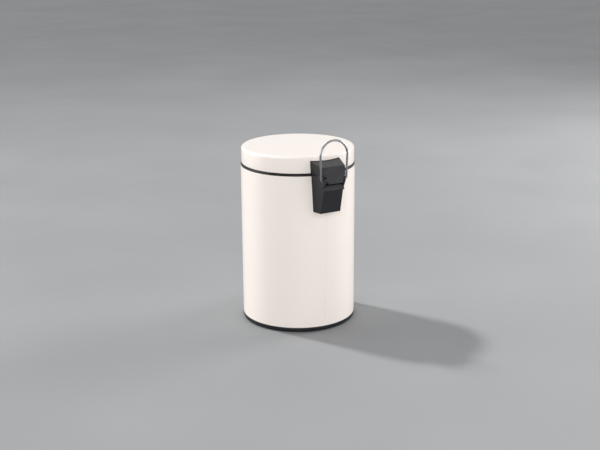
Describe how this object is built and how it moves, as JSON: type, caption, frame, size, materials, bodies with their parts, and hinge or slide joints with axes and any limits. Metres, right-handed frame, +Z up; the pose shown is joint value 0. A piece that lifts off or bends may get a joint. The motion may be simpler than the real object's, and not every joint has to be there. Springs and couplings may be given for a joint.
{
  "type": "pedal bin",
  "caption": "Small round pedal bin: painted steel body and hinged lid, black plastic hinge and rings, upright wire carry handle, lift-out bucket and foot pedal.",
  "frame": {"origin": "on the floor, on the body's axis", "axes": "+Z up; the pedal faces -Y and the hinge and carry handle are at +Y"},
  "size_m": [0.17, 0.2251, 0.293],
  "materials": {
    "cream_paint": "gloss",
    "black_plastic": "satin moulded",
    "hinge_plastic": "fine moulded grain",
    "rubber": "matte",
    "clear_bumper": "soft translucent",
    "zinc_steel": "zinc plated",
    "bright_wire": "bright nickel plated",
    "acetal": "satin",
    "bucket_plastic": "satin moulded"
  },
  "bodies": {
    "root": {"outer_body": "cream_paint", "top_ring": "black_plastic", "base_tray": "black_plastic", "rubber_feet": "rubber", "lever_buffer": "rubber", "pivot_pin": "zinc_steel", "pivot_clips": "zinc_steel", "rod_guide": "black_plastic", "hinge_housing": "hinge_plastic", "housing_plate": "zinc_steel", "housing_screws": "zinc_steel", "lid_bumpers": "clear_bumper"},
    "lid_body": {"lid": "cream_paint", "hinge_cap": "hinge_plastic", "cap_plate": "zinc_steel", "cap_screws": "zinc_steel"},
    "rod_body": {"push_rod": "zinc_steel", "rod_clip": "acetal"},
    "pedal_body": {"pedal_lever": "zinc_steel", "pedal_tread": "black_plastic", "tread_rivets": "zinc_steel", "pivot_bushes": "acetal"},
    "handle_body": {"carry_handle": "bright_wire"},
    "bucket_body": {"inner_bucket": "bucket_plastic"},
    "bail_body": {"bucket_bail": "bright_wire"}
  },
  "joints": [
    {"name": "lid_open", "type": "hinge", "parent": "root", "child": "lid_body", "pos_m": [0, 0.1065, 0.2345], "axis": [-1, 0, 0], "range_deg": [0, 80]},
    {"name": "rod_lift", "type": "slide", "parent": "root", "child": "rod_body", "axis": [0, 0, 1], "range_m": [0, 0.0236]},
    {"name": "pedal_press", "type": "hinge", "parent": "root", "child": "pedal_body", "pos_m": [0, -0.036, 0.0168], "axis": [1, 0, 0], "range_deg": [0, 11.81]},
    {"name": "handle_swing", "type": "hinge", "parent": "lid_body", "child": "handle_body", "pos_m": [0, 0.1065, 0.2345], "axis": [-1, 0, 0], "range_deg": [-15, 92]},
    {"name": "bucket_lift", "type": "slide", "parent": "root", "child": "bucket_body", "axis": [0, 0, 1], "range_m": [0, 0.006]},
    {"name": "bail_swing", "type": "hinge", "parent": "bucket_body", "child": "bail_body", "pos_m": [0, 0, 0.2401], "axis": [-1, 0, 0], "range_deg": [0, 12]}
  ],
  "couplings": [
    {"joint": "rod_lift", "follows": "lid_open", "m_per_rad": 0.016827},
    {"joint": "pedal_press", "follows": "lid_open", "ratio": 0.14732}
  ]
}
